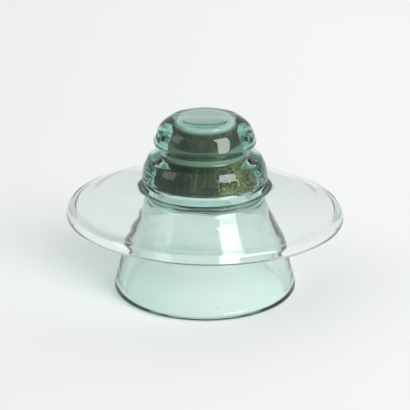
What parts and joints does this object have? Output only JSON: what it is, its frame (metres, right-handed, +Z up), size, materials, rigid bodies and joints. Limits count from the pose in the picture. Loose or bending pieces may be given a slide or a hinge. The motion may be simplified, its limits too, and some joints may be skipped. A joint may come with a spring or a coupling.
{
  "type": "glass pin insulator",
  "caption": "Pressed glass pin insulator with a grooved crown for the conductor, a wide umbrella disc, an inner bell and a threaded thimble for its pin.",
  "frame": {"origin": "centre of the inner bell's rim, the face that it stands on", "axes": "+Z up along the axis of the turned shape towards the crown; +X and +Y are any two square directions, as the part is round"},
  "size_m": [0.1804, 0.1804, 0.1188],
  "materials": {
    "aqua_glass": "polished",
    "cement": "matte",
    "thimble_metal": "matte"
  },
  "bodies": {
    "root": {"glass_shell": "aqua_glass", "cement_lining": "cement", "threaded_thimble": "thimble_metal"}
  },
  "joints": []
}
